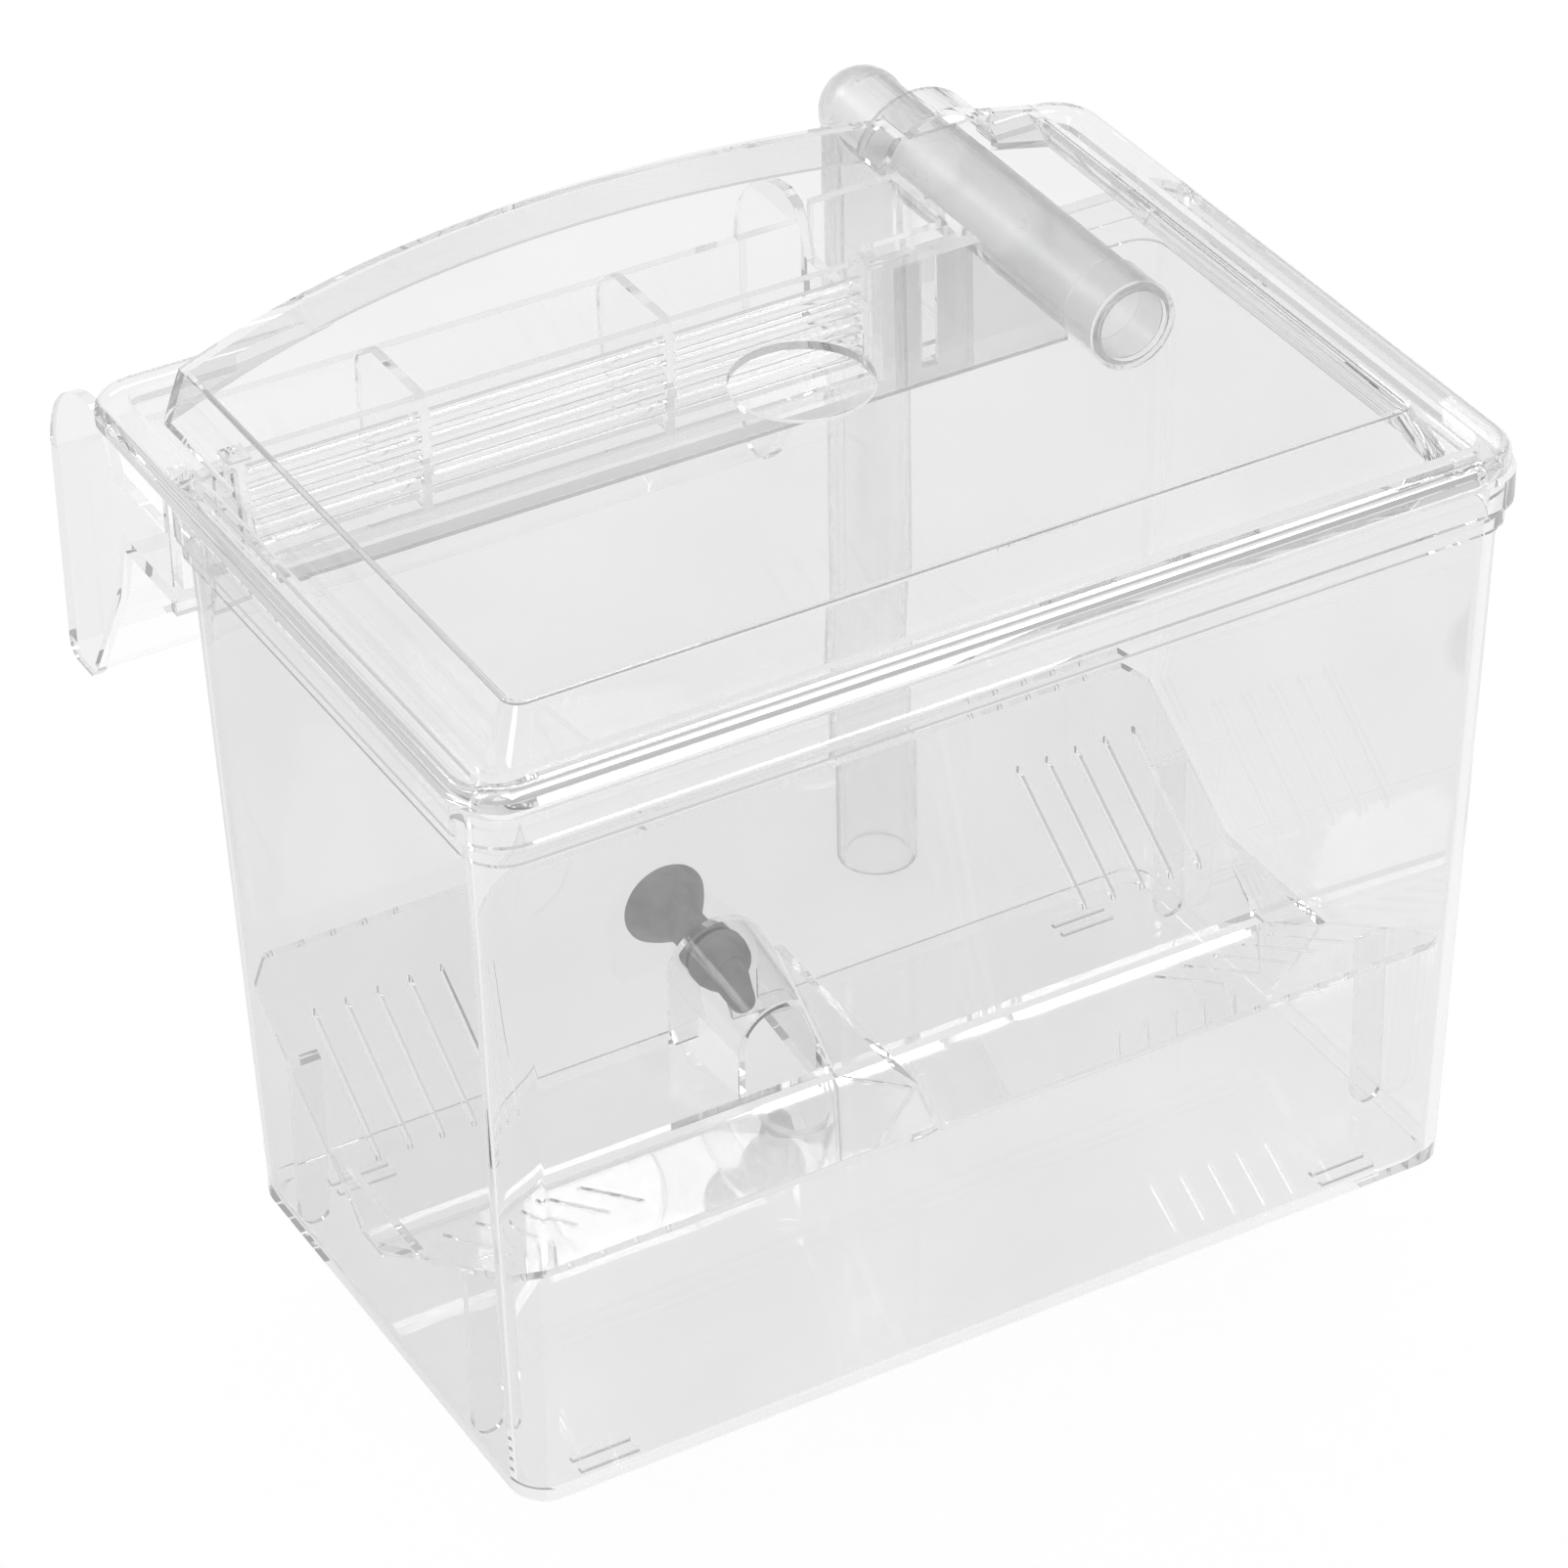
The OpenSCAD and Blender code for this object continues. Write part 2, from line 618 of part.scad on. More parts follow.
// Leg plate of the trap with a rounded foot.
module trap_leg(x, y, high) {
    translate([x, y - trap_t / 2, 0]) {
        translate([-leg_w / 2, 0, trap_floor + leg_w / 2])
            cube([leg_w, trap_t, high - trap_floor - leg_w / 2]);
        translate([0, 0, trap_floor + leg_w / 2])
            rotate([-90, 0, 0]) cylinder(h = trap_t, r = leg_w / 2, $fn = round_fn);
    }
}

function back_z(y) = trap_low + (trap_top - trap_low) * (y - trap_mid) / (trap_back - trap_mid);
function front_z(y) = trap_low + (trap_top - trap_low) * (trap_mid - y) / (trap_mid - trap_front);

// Web plate that fills the V up to the given height.
module trap_web(x, high) {
    grow = (high - trap_low) / (trap_top - trap_low);
    side_plate(x - trap_t / 2, x + trap_t / 2, [
        [trap_mid - trap_slot, trap_low], [trap_mid + trap_slot, trap_low],
        [trap_mid + grow * (trap_back - trap_mid), high],
        [trap_mid - grow * (trap_mid - trap_front), high]]);
}

module fry_trap() {
    color(shell_trap) place() {
        difference() {
            union() {
                trap_panel(trap_mid + trap_slot / 2, trap_back);
                trap_panel(trap_mid - trap_slot / 2, trap_front);
            }
            slit_group(trap_mid + slit_from, trap_mid + slit_from + slit_l);
            slit_group(trap_mid - slit_from - slit_l, trap_mid - slit_from);
            for (x = [-trap_half, trap_half], y = [trap_front, trap_back])
                translate([x, y, trap_low]) cylinder(h = trap_top, r = trap_chamfer, $fn = 4);
        }
        trap_web(0, web_h);
        for (side = [-1, 1]) {
            trap_web(side * (trap_half - trap_t / 2), end_web_h);
            trap_leg(side * (trap_half - leg_w / 2), leg_front, front_z(leg_front) + trap_t / 2);
            trap_leg(side * (trap_half - leg_w / 2), leg_back, back_z(leg_back) + trap_t / 2);
        }
    }
}

module lift_tube() {
    color(frosted) place() difference() {
        union() {
            bar_y(tube_x, tube_z, tube_front + sleeve_lip + slide_fit, riser_y, tube_r);
            translate([tube_x, riser_y, riser_low])
                cylinder(h = tube_z - riser_low, r = tube_r, $fn = round_fn);
            translate([tube_x, riser_y, tube_z]) sphere(r = tube_r + elbow_out, $fn = round_fn);
        }
        bar_y(tube_x, tube_z, tube_front - cut, riser_y, bore_r);
        translate([tube_x, riser_y, riser_low - cut])
            cylinder(h = tube_z - riser_low + cut, r = bore_r, $fn = round_fn);
        translate([tube_x, riser_y, tube_z]) sphere(r = bore_r, $fn = round_fn);
    }
}

module outlet_sleeve() {
    color(frosted) place() difference() {
        bar_y(tube_x, tube_z, tube_front, tube_front + sleeve_l, sleeve_r);
        bar_y(tube_x, tube_z, tube_front - cut, tube_front + sleeve_lip, bore_r);
        bar_y(tube_x, tube_z, tube_front + sleeve_lip, tube_front + sleeve_l + cut, tube_r + slide_fit);
    }
}

module suction_cup() {
    gap = 0.1;
    y_in = cup_inner_y - gap;
    y_out = cup_wall_y + collar_r * tank_draft / tank_h + gap;
    face = cup_wall_y + disc_reach;
    color(rubber_grey) place() translate([0, 0, cup_z]) {
        translate([0, y_in - head_l + nose_tip_r, 0]) rotate([90 + nose_droop, 0, 0]) {
            cylinder(h = nose_l, r1 = nose_r, r2 = nose_tip_r, $fn = hull_fn);
            translate([0, 0, nose_l]) sphere(r = nose_tip_r, $fn = hull_fn);
        }
        rotate([-90, 0, 0]) rotate_extrude($fn = round_fn) polygon([
            [0, y_in - head_l], [head_r - 2.2, y_in - head_l], [head_r - 0.6, y_in - head_l + 1.4],
            [head_r, y_in - 2], [head_r, y_in],
            [neck_r, y_in], [neck_r, y_out], [collar_r, y_out], [collar_r, y_out + 2.6],
            [neck_r + 0.6, y_out + 4.4], [neck_r + 0.6, face - 7], [disc_r - 1.2, face - 2.2],
            [disc_r, face], [disc_r - 1, face], [neck_r, face - 3.4], [0, face - 3.8]]);
    }
}

tank();
hanger();
strainer();
lid();
fry_trap();
lift_tube();
outlet_sleeve();
suction_cup();
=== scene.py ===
"""Clear hang-on fish breeding box: finishes, moulded details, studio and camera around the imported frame."""
import json
import logging
from collections.abc import Iterable
from dataclasses import dataclass, field
from enum import Enum
from math import cos, radians, sin

import bmesh
import bpy
from mathutils import Matrix, Vector


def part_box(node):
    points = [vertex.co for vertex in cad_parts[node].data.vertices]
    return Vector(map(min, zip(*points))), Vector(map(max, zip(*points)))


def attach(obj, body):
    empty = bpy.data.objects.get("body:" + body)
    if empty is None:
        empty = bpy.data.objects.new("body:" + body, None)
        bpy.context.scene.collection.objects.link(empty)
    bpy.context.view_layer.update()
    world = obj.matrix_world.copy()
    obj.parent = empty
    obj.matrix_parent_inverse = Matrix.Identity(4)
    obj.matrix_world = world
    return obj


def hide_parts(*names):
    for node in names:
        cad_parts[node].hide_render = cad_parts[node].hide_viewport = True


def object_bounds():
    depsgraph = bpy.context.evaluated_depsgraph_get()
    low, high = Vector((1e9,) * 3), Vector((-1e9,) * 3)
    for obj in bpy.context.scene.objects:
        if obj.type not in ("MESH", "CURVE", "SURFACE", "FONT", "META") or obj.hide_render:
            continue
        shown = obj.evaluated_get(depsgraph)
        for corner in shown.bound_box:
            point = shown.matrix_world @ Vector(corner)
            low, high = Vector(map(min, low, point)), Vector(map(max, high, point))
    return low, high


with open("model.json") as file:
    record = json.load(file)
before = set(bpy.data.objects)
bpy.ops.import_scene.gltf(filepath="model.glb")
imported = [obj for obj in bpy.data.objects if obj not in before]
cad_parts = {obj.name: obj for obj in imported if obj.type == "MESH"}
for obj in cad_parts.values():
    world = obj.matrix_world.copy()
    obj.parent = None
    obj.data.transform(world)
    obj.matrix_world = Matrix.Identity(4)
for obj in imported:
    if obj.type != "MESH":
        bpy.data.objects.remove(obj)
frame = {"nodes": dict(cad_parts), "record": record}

CAD_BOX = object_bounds()
LOG = logging.getLogger("breeding_box")
MM = 0.001
LIGHT_PASSES = 40  # how often light is followed through the clear walls

Socket = bpy.types.NodeSocket
Pair = tuple[float, float]
Triple = tuple[float, float, float]


# ---------------------------------------------------------------- node trees


class Graph:
    """Node tree that is filled by short calls."""

    prefix = "ShaderNode"

    def __init__(self, tree: bpy.types.NodeTree) -> None:
        """Keeps the tree that gets the nodes."""
        self.tree = tree

    def feed(self, slot: Socket, value: object) -> None:
        """Links a socket to an input, or sets the input to a plain value.

        Args:
            slot: The input.
            value: A socket or a plain value.
        """
        if isinstance(value, Socket):
            self.tree.links.new(value, slot)
        else:
            slot.default_value = value

    def node(self, kind: str, feeds: dict[str, object] | None = None, **settings: object) -> bpy.types.Node:
        """Adds a node.

        Args:
            kind: The node's name after the tree's own prefix, or its whole name if it is a shader node's.
            feeds: Inputs by label, each a socket, a plain value or a list of sockets.
            **settings: The node's own properties.

        Returns:
            The new node.
        """
        node = self.tree.nodes.new(kind if kind.startswith("ShaderNode") else self.prefix + kind)
        for key, value in settings.items():
            setattr(node, key, value)
        for label, value in (feeds or {}).items():
            for source in value if isinstance(value, list) else [value]:
                self.feed(node.inputs[label], source)
        return node

    def add(self, kind: str, feeds: dict[str, object] | None = None, **settings: object) -> Socket:
        """Adds a node and gives its first output."""
        return self.node(kind, feeds, **settings).outputs[0]

    def math(self, operation: str, *values: Socket | float) -> Socket:
        """Adds a Math node.

        Args:
            operation: The operation's name.
            *values: Its operands, each a socket or a number.

        Returns:
            The result's socket.
        """
        node = self.node("ShaderNodeMath", operation=operation)
        for slot, value in zip(node.inputs, values):
            self.feed(slot, value)
        return node.outputs[0]

    def split(self, vector: Socket) -> bpy.types.bpy_prop_collection:
        """Takes a vector apart; the outputs are named X, Y and Z."""
        return self.node("ShaderNodeSeparateXYZ", {"Vector": vector}).outputs


class ShaderTree(Graph):
    """Tree of a material or of the surround."""

    def __init__(self, tree: bpy.types.NodeTree) -> None:
        """Empties the tree and keeps it."""
        super().__init__(tree)
        tree.nodes.clear()

    def map(self, value: Socket, source: Pair, target: Pair) -> Socket:
        """Maps a value from one range to another.

        Args:
            value: What is mapped.
            source: Range that it comes from.
            target: Range that it goes to.

        Returns:
            The mapped value's socket.
        """
        return self.add("MapRange", {
            "Value": value, "From Min": source[0], "From Max": source[1],
            "To Min": target[0], "To Max": target[1]})

    def ramp(self, factor: Socket, stops: Iterable[Pair]) -> Socket:
        """Adds a ramp of greys.

        Args:
            factor: What drives the ramp.
            stops: Positions with their grey levels.

        Returns:
            The ramp's colour socket.
        """
        node = self.node("ValToRGB", {"Fac": factor})
        stops = list(stops)
        band = node.color_ramp.elements
        while len(band) < len(stops):
            band.new(0.5)
        for element, (place, level) in zip(band, stops):
            element.position = place
            element.color = grey(level)
        return node.outputs["Color"]

    def noise(self, place: Socket, scale: float, detail: float, roughness: float) -> Socket:
        """Adds cloudy noise and gives its level.

        Args:
            place: Coordinates that it lies in.
            scale: How fine it is.
            detail: How many finer layers it has.
            roughness: How strong those layers are.

        Returns:
            The level's socket.
        """
        return self.add("TexNoise", {
            "Vector": place, "Scale": scale, "Detail": detail, "Roughness": roughness})

    def bump(self, height: Socket, strength: float, distance: float) -> Socket:
        """Tilts the surface by a height pattern."""
        return self.add("Bump", {"Height": height, "Strength": strength, "Distance": distance})

    def mix(self, share: Socket, first: Socket, second: Socket) -> Socket:
        """Mixes two shaders.

        Args:
            share: Share of the second shader.
            first: The first shader.
            second: The second shader.

        Returns:
            The mixed shader's socket.
        """
        node = self.node("MixShader")
        for slot, source in zip(node.inputs, (share, first, second)):
            self.feed(slot, source)
        return node.outputs[0]

    def output(self, kind: str, surface: Socket) -> None:
        """Ends the tree in an output node of the kind named."""
        self.node(kind, {"Surface": surface})


def grey(level: float) -> tuple[float, float, float, float]:
    """Gives an opaque grey as a colour."""
    return (level, level, level, 1.0)


# ---------------------------------------------------------------- finishes


class Haze(Enum):
    """How much a clear moulding scatters light."""

    POLISHED = 0.0
    WORN = 0.06


@dataclass(frozen=True)
class Finish:
    """A named finish; each kind of finish says how its surface is made."""

    name: str

    def surface(self, tree: ShaderTree, place: Socket) -> Socket:
        """Builds the surface.

        Args:
            tree: The material's tree.
            place: The piece's own coordinates.

        Returns:
            The shader's socket.
        """
        raise NotImplementedError

    def build(self) -> bpy.types.Material:
        """Builds the material.

        Returns:
            The finished material.
        """
        made = bpy.data.materials.new(self.name)
        made.use_nodes = True
        tree = ShaderTree(made.node_tree)
        place = tree.node("TexCoord").outputs["Object"]
        tree.output("OutputMaterial", self.surface(tree, place))
        return made


@dataclass(frozen=True)
class ClearPlastic(Finish):
    """Injection-moulded clear styrene with flow marks, light rub marks and a soft waviness.

    Light that was passed on more often than the trapped limit goes straight through, so that
    thick edges stay light. Left of bare_left, where that is given, trapped_bare is the limit.
    """

    tint: float = 0.93
    deep_tint: float = 0.9
    tint_band: Pair = (0.3, 0.7)
    haze: Haze = Haze.POLISHED
    ior: float = 1.5
    wave: float = 0.03
    wave_depth: float = 0.001
    wave_scale: float = 26.0
    rub: float = 0.03
    rub_above: float = 0.66
    rub_scale: Triple = (900.0, 60.0, 60.0)
    rub_turn: Triple = (0.3, 0.5, 0.7)
    passed: float = 0.97
    trapped: float = 10.0
    trapped_bare: float = 2.0
    bare_left: float | None = None

    def limit(self, tree: ShaderTree, place: Socket) -> Socket | float:
        """Works out how often light is passed on before it goes straight through.

        Args:
            tree: The material's tree.
            place: The piece's own coordinates.

        Returns:
            The limit, or the socket that carries it.
        """
        if self.bare_left is None:
            return self.trapped
        covered = tree.math("GREATER_THAN", tree.split(place)["X"], self.bare_left)
        more = tree.math("MULTIPLY", covered, self.trapped - self.trapped_bare)
        return tree.math("ADD", more, self.trapped_bare)

    def surface(self, tree: ShaderTree, place: Socket) -> Socket:
        """Builds the clear surface.

        Args:
            tree: The material's tree.
            place: The piece's own coordinates.

        Returns:
            The shader's socket.
        """
        flow = tree.noise(place, scale=self.wave_scale, detail=2.0, roughness=0.45)
        laid = tree.add("Mapping", {"Vector": place, "Scale": self.rub_scale, "Rotation": self.rub_turn})
        lines = tree.noise(laid, scale=1.0, detail=3.0, roughness=0.6)
        worn = tree.math("MULTIPLY", tree.math("GREATER_THAN", lines, self.rub_above), self.rub)
        plastic = tree.add("BsdfPrincipled", {
            "Base Color": tree.ramp(flow, zip(self.tint_band, (self.deep_tint, self.tint))),
            "Roughness": tree.math("ADD", worn, self.haze.value),
            "IOR": self.ior,
            "Transmission Weight": 1.0,
            "Normal": tree.bump(flow, self.wave, self.wave_depth)})
        straight = tree.add("BsdfTransparent", {"Color": grey(self.passed)})
        ray = tree.node("LightPath").outputs
        spent = tree.math("GREATER_THAN", ray["Ray Depth"], self.limit(tree, place))
        soft = tree.math("MAXIMUM", ray["Is Diffuse Ray"], spent)
        return tree.mix(tree.math("MAXIMUM", ray["Is Shadow Ray"], soft), plastic, straight)


# painted shade: a darker tint on edge faces stands in for the dark lines that refraction draws there
def painted_edge_shade(tint: float) -> ClearPlastic:
    """Gives a darker tint whose painted shade marks the softened edges of clear plastic."""
    return ClearPlastic(f"painted_edge_shade_{round(tint * 100)}", tint=tint, deep_tint=tint, wave=0.0, rub=0.0)


@dataclass(frozen=True)
class FrostedTube(Finish):
    """Milky tube plastic: light passes, shapes behind it blur; low down it is clearer."""

    fade: Pair = (-0.03, 0.01)
    colour: float = 0.975
    low_colour: float = 1.0
    roughness: float = 0.26
    low_roughness: float = 0.1
    clear: float = 0.97
    ior: float = 1.49
    cloud_band: Pair = (0.3, 0.7)
    cloud_depth: Pair = (0.975, 1.0)
    patch_least: float = 0.8
    patch_more: float = 0.4
    grain: float = 0.08
    grain_depth: float = 0.0002
    shade: Triple = (0.75, 0.76, 0.77)

    def surface(self, tree: ShaderTree, place: Socket) -> Socket:
        """Builds the milky surface.

        Args:
            tree: The material's tree.
            place: The piece's own coordinates.

        Returns:
            The shader's socket.
        """
        cloud = tree.noise(place, scale=60.0, detail=4.0, roughness=0.55)
        grain = tree.noise(place, scale=1500.0, detail=2.0, roughness=0.6)
        height = tree.split(place)["Z"]
        milk = tree.map(height, self.fade, (self.low_colour, self.colour))
        frost = tree.map(height, self.fade, (self.low_roughness, self.roughness))
        cloudy = tree.map(cloud, self.cloud_band, self.cloud_depth)
        patchy = tree.math("ADD", tree.math("MULTIPLY", cloud, self.patch_more), self.patch_least)
        plastic = tree.add("BsdfPrincipled", {
            "Base Color": tree.math("MULTIPLY", milk, cloudy),
            "Roughness": tree.math("MULTIPLY", frost, patchy),
            "IOR": self.ior,
            "Transmission Weight": self.clear,
            "Normal": tree.bump(grain, self.grain, self.grain_depth)})
        straight = tree.add("BsdfTransparent", {"Color": (*self.shade, 1.0)})
        return tree.mix(tree.node("LightPath").outputs["Is Shadow Ray"], plastic, straight)


@dataclass(frozen=True)
class SoftRubber(Finish):
    """Dark grey soft rubber with a dusty bloom and a fine moulded grain."""

    colour: float = 0.27
    bloom: float = 1.5
    bloom_band: Pair = (0.35, 0.75)
    roughness: float = 0.4
    roughness_more: float = 0.25
    ior: float = 1.5
    grain: float = 0.15
    grain_depth: float = 0.0001

    def surface(self, tree: ShaderTree, place: Socket) -> Socket:
        """Builds the rubber surface.

        Args:
            tree: The material's tree.
            place: The piece's own coordinates.

        Returns:
            The shader's socket.
        """
        bloom = tree.noise(place, scale=220.0, detail=5.0, roughness=0.6)
        grain = tree.noise(place, scale=2600.0, detail=2.0, roughness=0.5)
        rough = tree.math("ADD", tree.math("MULTIPLY", bloom, self.roughness_more), self.roughness)
        return tree.add("BsdfPrincipled", {
            "Base Color": tree.ramp(bloom, zip(self.bloom_band, (self.colour, self.colour * self.bloom))),
            "Roughness": rough,
            "IOR": self.ior,
            "Normal": tree.bump(grain, self.grain, self.grain_depth)})


@dataclass(frozen=True)
class FloorPaper(Finish):
    """Pale paper: white where it is seen, dimmer where clear walls mirror it, and it keeps the shadow."""

    paper: float = 0.96
    glow: float = 0.8
    bright: float = 1.05
    mirrored: float = 0.36
    mirrored_near: float = 1.0
    near_zone: Pair = (-0.26, -0.15)

    def surface(self, tree: ShaderTree, place: Socket) -> Socket:
        """Builds the paper.

        Args:
            tree: The material's tree.
            place: The floor's own coordinates.

        Returns:
            The shader's socket.
        """
        ray = tree.node("LightPath").outputs
        straight = tree.math("MAXIMUM", ray["Is Camera Ray"], ray["Is Transmission Ray"])
        seen = tree.math("MAXIMUM", straight, ray["Is Glossy Ray"])
        spot = tree.split(place)
        near = tree.map(spot["Y"], self.near_zone, (0.0, self.mirrored_near - self.mirrored))
        ahead = tree.math("MULTIPLY", near, tree.math("GREATER_THAN", spot["X"], CAD_BOX[0].x))
        aside = tree.math("SUBTRACT", 1.0, straight)
        mirrored = tree.math("MULTIPLY", tree.math("ADD", ahead, self.mirrored), aside)
        level = tree.math("ADD", tree.math("MULTIPLY", straight, self.bright), mirrored)
        paper = tree.add("BsdfDiffuse", {"Color": grey(self.paper)})
        light = tree.add("Emission", {"Color": grey(1.0), "Strength": level})
        return tree.mix(tree.math("MULTIPLY", seen, self.glow), paper, light)


# ---------------------------------------------------------------- pattern trees


class PatternTree(Graph):
    """Geometry node tree that repeats a form and ends in plain, dressed geometry."""

    prefix = "GeometryNode"

    def __init__(self, name: str) -> None:
        """Starts a tree with one geometry input and output.

        Args:
            name: The tree's name.
        """
        super().__init__(bpy.data.node_groups.new(name, "GeometryNodeTree"))
        face = self.tree.interface
        face.new_socket("Geometry", in_out="INPUT", socket_type="NodeSocketGeometry")
        face.new_socket("Geometry", in_out="OUTPUT", socket_type="NodeSocketGeometry")
        self.entry = self.tree.nodes.new("NodeGroupInput")
        self.leave = self.tree.nodes.new("NodeGroupOutput")

    def size(self, label: str, kind: str = "Float") -> Socket:
        """Adds a named input for a size.

        Args:
            label: The input's name.
            kind: Float, Int, Vector or Material.

        Returns:
            The socket that carries the value inside the tree.
        """
        self.tree.interface.new_socket(label, in_out="INPUT", socket_type=f"NodeSocket{kind}")
        return self.entry.outputs[label]

    def triple(self, x: Socket | float = 0.0, y: Socket | float = 0.0, z: Socket | float = 0.0) -> Socket:
        """Joins three numbers into a vector."""
        return self.add("ShaderNodeCombineXYZ", {"X": x, "Y": y, "Z": z})

    def row(self, form: Socket, count: Socket, start: Socket, step: Socket) -> Socket:
        """Repeats a form along a line.

        Args:
            form: What is repeated.
            count: How many there are.
            start: Place of the first.
            step: Vector from one to the next.

        Returns:
            The row's socket.
        """
        line = self.add("MeshLine", {"Count": count, "Start Location": start, "Offset": step}, mode="OFFSET")
        return self.add("InstanceOnPoints", {"Points": line, "Instance": form})

    def fuse(self, shells: Socket) -> Socket:
        """Unites shells that overlap."""
        feeds = {"Mesh 2": shells, "Self Intersection": True}
        return self.add("MeshBoolean", feeds, operation="UNION", solver="EXACT")

    def cut(self, body: Socket, knives: Socket) -> Socket:
        """Cuts knives out of a body."""
        feeds = {"Mesh 1": body, "Mesh 2": knives, "Self Intersection": True}
        return self.add("MeshBoolean", feeds, operation="DIFFERENCE", solver="EXACT")

    def close(self, geometry: Socket) -> None:
        """Ends the tree in real geometry with its finish.

        Args:
            geometry: What the tree made.
        """
        finish = self.size("Finish", "Material")
        real = self.add("RealizeInstances", {"Geometry": geometry})
        dressed = self.add("SetMaterial", {"Geometry": real, "Material": finish})
        self.feed(self.leave.inputs[0], dressed)

    def press(self, piece: bpy.types.Object, sizes: dict[str, object]) -> None:
        """Runs the tree on a piece and keeps the result as its plain mesh.

        Args:
            piece: The piece whose mesh goes in and comes out.
            sizes: Values by input name.
        """
        pattern = piece.modifiers.new("pattern", "NODES")
        pattern.node_group = self.tree
        for item in self.tree.interface.items_tree:
            if item.in_out == "INPUT" and item.name in sizes:
                pattern[item.identifier] = sizes[item.name]
        graph = bpy.context.evaluated_depsgraph_get()
        plain = bpy.data.meshes.new_from_object(piece.evaluated_get(graph), depsgraph=graph)
        piece.modifiers.remove(pattern)
        piece.data = plain


# ---------------------------------------------------------------- shells


def metres(*lengths: float) -> tuple[float, ...]:
    """Turns lengths in mm into metres."""
    return tuple(length * MM for length in lengths)


def band(work: bmesh.types.BMesh, first: list[Triple], second: list[Triple]) -> None:
    """Adds a closed slab between two outlines that match point by point.

    Args:
        work: The mesh that gets the slab.
        first: One outline in mm, clockwise seen from outside.
        second: The other outline in mm, its points in the same order.
    """
    one, other = ([work.verts.new(metres(*point)) for point in outline] for outline in (first, second))
    work.faces.new(list(reversed(one)))
    work.faces.new(other)
    for i in range(len(one)):
        j = (i + 1) % len(one)
        work.faces.new((one[i], one[j], other[j], other[i]))


def plate(work: bmesh.types.BMesh, outline: list[Pair], x0: float, x1: float) -> None:
    """Adds a slab across the width with a side profile.

    Args:
        work: The mesh that gets the slab.
        outline: Profile as (y, z) points in mm, anticlockwise seen from +X.
        x0: Left face in mm.
        x1: Right face in mm.
    """
    band(work, [(x0, y, z) for y, z in outline], [(x1, y, z) for y, z in outline])


def brick(work: bmesh.types.BMesh, low: Triple, high: Triple) -> None:
    """Adds a plain block between two corners in mm."""
    plate(work, [(low[1], low[2]), (high[1], low[2]), (high[1], high[2]), (low[1], high[2])], low[0], high[0])


def arc(centre: Pair, radius: float, first: float, last: float, steps: int) -> list[Pair]:
    """Points along an arc.

    Args:
        centre: Its centre.
        radius: Its radius.
        first: First angle in degrees.
        last: Last angle in degrees.
        steps: Number of chords.

    Returns:
        The points, both ends among them.
    """
    turns = [radians(first + (last - first) * i / steps) for i in range(steps + 1)]
    return [(centre[0] + radius * cos(t), centre[1] + radius * sin(t)) for t in turns]


# ---------------------------------------------------------------- pieces


@dataclass
class Moulding:
    """A moulded piece with softened edges that stands for its CAD node.

    Lengths are in mm and angles in degrees. The rim finish, where there is one, paints shade on the softened
    edges with a darker tint.
    """

    node: str
    finish: Finish
    # darker tint that paints shade on the edges
    rim: Finish | None = None
    edge: float = 0.25
    segments: int = 2
    crease: float = 28.0
    fold: float = 35.0
    merge: float = 0.005
    sliver: float = 0.01
    flat: float = 0.6
    flat_weight: int = 100
    skin: bpy.types.Material = field(init=False, repr=False)

    def corners(self) -> tuple[Vector, Vector]:
        """Gives the lowest and the highest corner of the CAD node in mm."""
        low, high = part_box(self.node)
        return low / MM, high / MM

    def mesh(self) -> bpy.types.Mesh:
        """Copies the CAD node's mesh with its loose triangles merged.

        Returns:
            The merged mesh.
        """
        mesh = frame["nodes"][self.node].data.copy()
        work = bmesh.new()
        work.from_mesh(mesh)
        bmesh.ops.remove_doubles(work, verts=work.verts, dist=self.merge * MM)
        bmesh.ops.dissolve_degenerate(work, dist=self.sliver * MM, edges=work.edges)
        bmesh.ops.dissolve_limit(work, angle_limit=radians(self.flat), verts=work.verts, edges=work.edges)
        work.to_mesh(mesh)
        work.free()
        mesh.materials.clear()
        mesh.materials.append(self.skin)
        return mesh

    def pattern(self, piece: bpy.types.Object) -> None:
        """Adds the piece's repeated forms; a plain moulding has none."""

    def has_painted_shade(self, mesh: bpy.types.Mesh, face: bpy.types.MeshPolygon) -> bool:
        """Tells whether a face gets the painted edge shade; a plain moulding leaves that to its bevels."""
        return False

    def soften(self, piece: bpy.types.Object) -> None:
        """Rounds the edges, paints shade on them with the darker rim finish and keeps the walls flat.

        Args:
            piece: The piece.
        """
        piece.data.shade_smooth()
        piece.data.set_sharp_from_angle(angle=radians(self.crease))
        bevel = piece.modifiers.new("soft_edges", "BEVEL")
        bevel.width = self.edge * MM
        bevel.segments = self.segments
        bevel.limit_method = "ANGLE"
        bevel.angle_limit = radians(self.fold)
        bevel.harden_normals = True
        bevel.use_clamp_overlap = True
        # painted shade: bevel faces and the faces picked here take the darker rim tint
        if self.rim:
            piece.data.materials.append(self.rim.build())
            bevel.material = 1
            for face in piece.data.polygons:
                face.material_index = int(self.has_painted_shade(piece.data, face))
        walls = piece.modifiers.new("flat_walls", "WEIGHTED_NORMAL")
        walls.mode = "FACE_AREA"
        walls.weight = self.flat_weight
        walls.keep_sharp = True

    def build(self) -> bpy.types.Object:
        """Makes the piece, softens it, rides it on its body and stands it for its node.

        Returns:
            The finished piece.
        """
        self.skin = self.finish.build()
        piece = bpy.data.objects.new(f"{self.node}_moulding", self.mesh())
        bpy.context.scene.collection.objects.link(piece)
        self.pattern(piece)
        piece.data.name = f"{self.node}_moulding"
        self.soften(piece)
        record = frame["record"]
        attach(piece, next(b for b, nodes in record["behaviour"]["bodies"].items() if self.node in nodes))
        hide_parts(self.node)
        LOG.info("%s: %d faces", piece.name, len(piece.data.polygons))
        return piece


